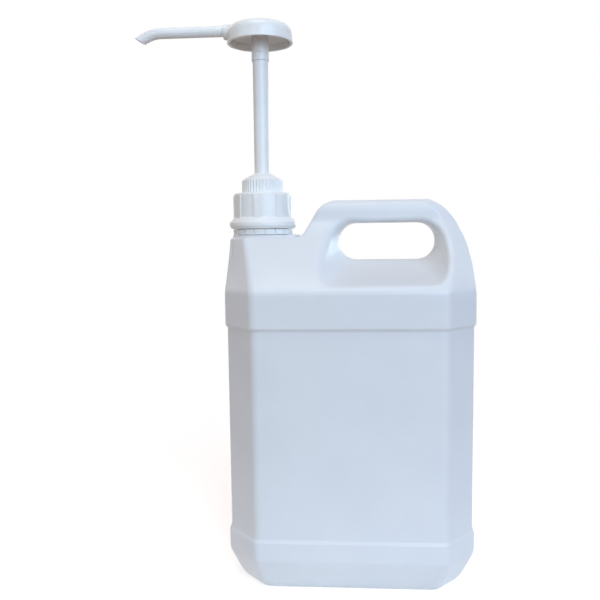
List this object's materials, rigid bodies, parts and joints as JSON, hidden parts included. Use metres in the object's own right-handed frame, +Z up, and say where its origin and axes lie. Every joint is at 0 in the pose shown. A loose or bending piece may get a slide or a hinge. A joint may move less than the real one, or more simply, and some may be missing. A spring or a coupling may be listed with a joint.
{
  "type": "pump oil bottle",
  "caption": "White plastic jerry can with a moulded handle and a long-stroke dosing pump with a domed press head and bent spout, for massage oil.",
  "frame": {"origin": "centre of the can's base, on the surface it stands on", "axes": "+Z up along the pump, +X towards the handle side, spout along -X at rest, front of the can faces -Y"},
  "size_m": [0.2678, 0.1354, 0.4426],
  "materials": {
    "can_plastic": "satin blow-moulded polyethylene",
    "pump_plastic": "glossy moulded polypropylene",
    "ring_plastic": "satin moulded polyethylene",
    "barrel_plastic": "natural polypropylene",
    "seal_plastic": "soft natural polyethylene",
    "tube_plastic": "translucent extruded tube",
    "steel": "bright stainless steel"
  },
  "bodies": {
    "can": {"bottle": "can_plastic"},
    "ring": {"tamper_ring": "ring_plastic"},
    "pump_unit": {"pump_cylinder": "barrel_plastic", "neck_gasket": "seal_plastic", "ribbed_collar": "pump_plastic", "stem_guide": "pump_plastic", "stem_seal": "seal_plastic", "inlet_cage": "barrel_plastic", "dip_tube": "tube_plastic", "return_spring": "steel"},
    "cap": {"screw_cap": "pump_plastic"},
    "piston": {"piston_seal": "seal_plastic"},
    "plunger": {"pump_stem": "pump_plastic", "piston_retainer": "barrel_plastic", "outlet_retainer": "barrel_plastic", "pump_head": "pump_plastic", "spout": "pump_plastic"},
    "inlet_valve": {"inlet_ball": "steel"},
    "outlet_valve": {"outlet_ball": "steel"}
  },
  "joints": [
    {"name": "ring_spin", "type": "hinge", "parent": "can", "child": "ring", "pos_m": [-0.07, 0, 0.276], "axis": [0, 0, 1], "continuous": true},
    {"name": "pump_lift", "type": "slide", "parent": "can", "child": "pump_unit", "axis": [0, 0, 1], "range_m": [0, 0.009]},
    {"name": "cap_turn", "type": "hinge", "parent": "pump_unit", "child": "cap", "pos_m": [-0.07, 0, 0.29], "axis": [0, 0, 1], "range_deg": [0, 720]},
    {"name": "pump_stroke", "type": "slide", "parent": "pump_unit", "child": "piston", "axis": [0, 0, -1], "range_m": [0, 0.088], "stiffness_N_per_m": 250, "springref_m": -0.02, "deforming": ["return_spring"]},
    {"name": "head_swivel", "type": "hinge", "parent": "piston", "child": "plunger", "pos_m": [-0.07, 0, 0.36], "axis": [0, 0, 1], "continuous": true},
    {"name": "inlet_lift", "type": "slide", "parent": "pump_unit", "child": "inlet_valve", "axis": [0, 0, 1], "range_m": [0, 0.0025]},
    {"name": "outlet_lift", "type": "slide", "parent": "plunger", "child": "outlet_valve", "axis": [0, 0, 1], "range_m": [0, 0.0025]}
  ],
  "couplings": [
    {"joint": "pump_lift", "follows": "cap_turn", "m_per_rad": 0.000716}
  ]
}
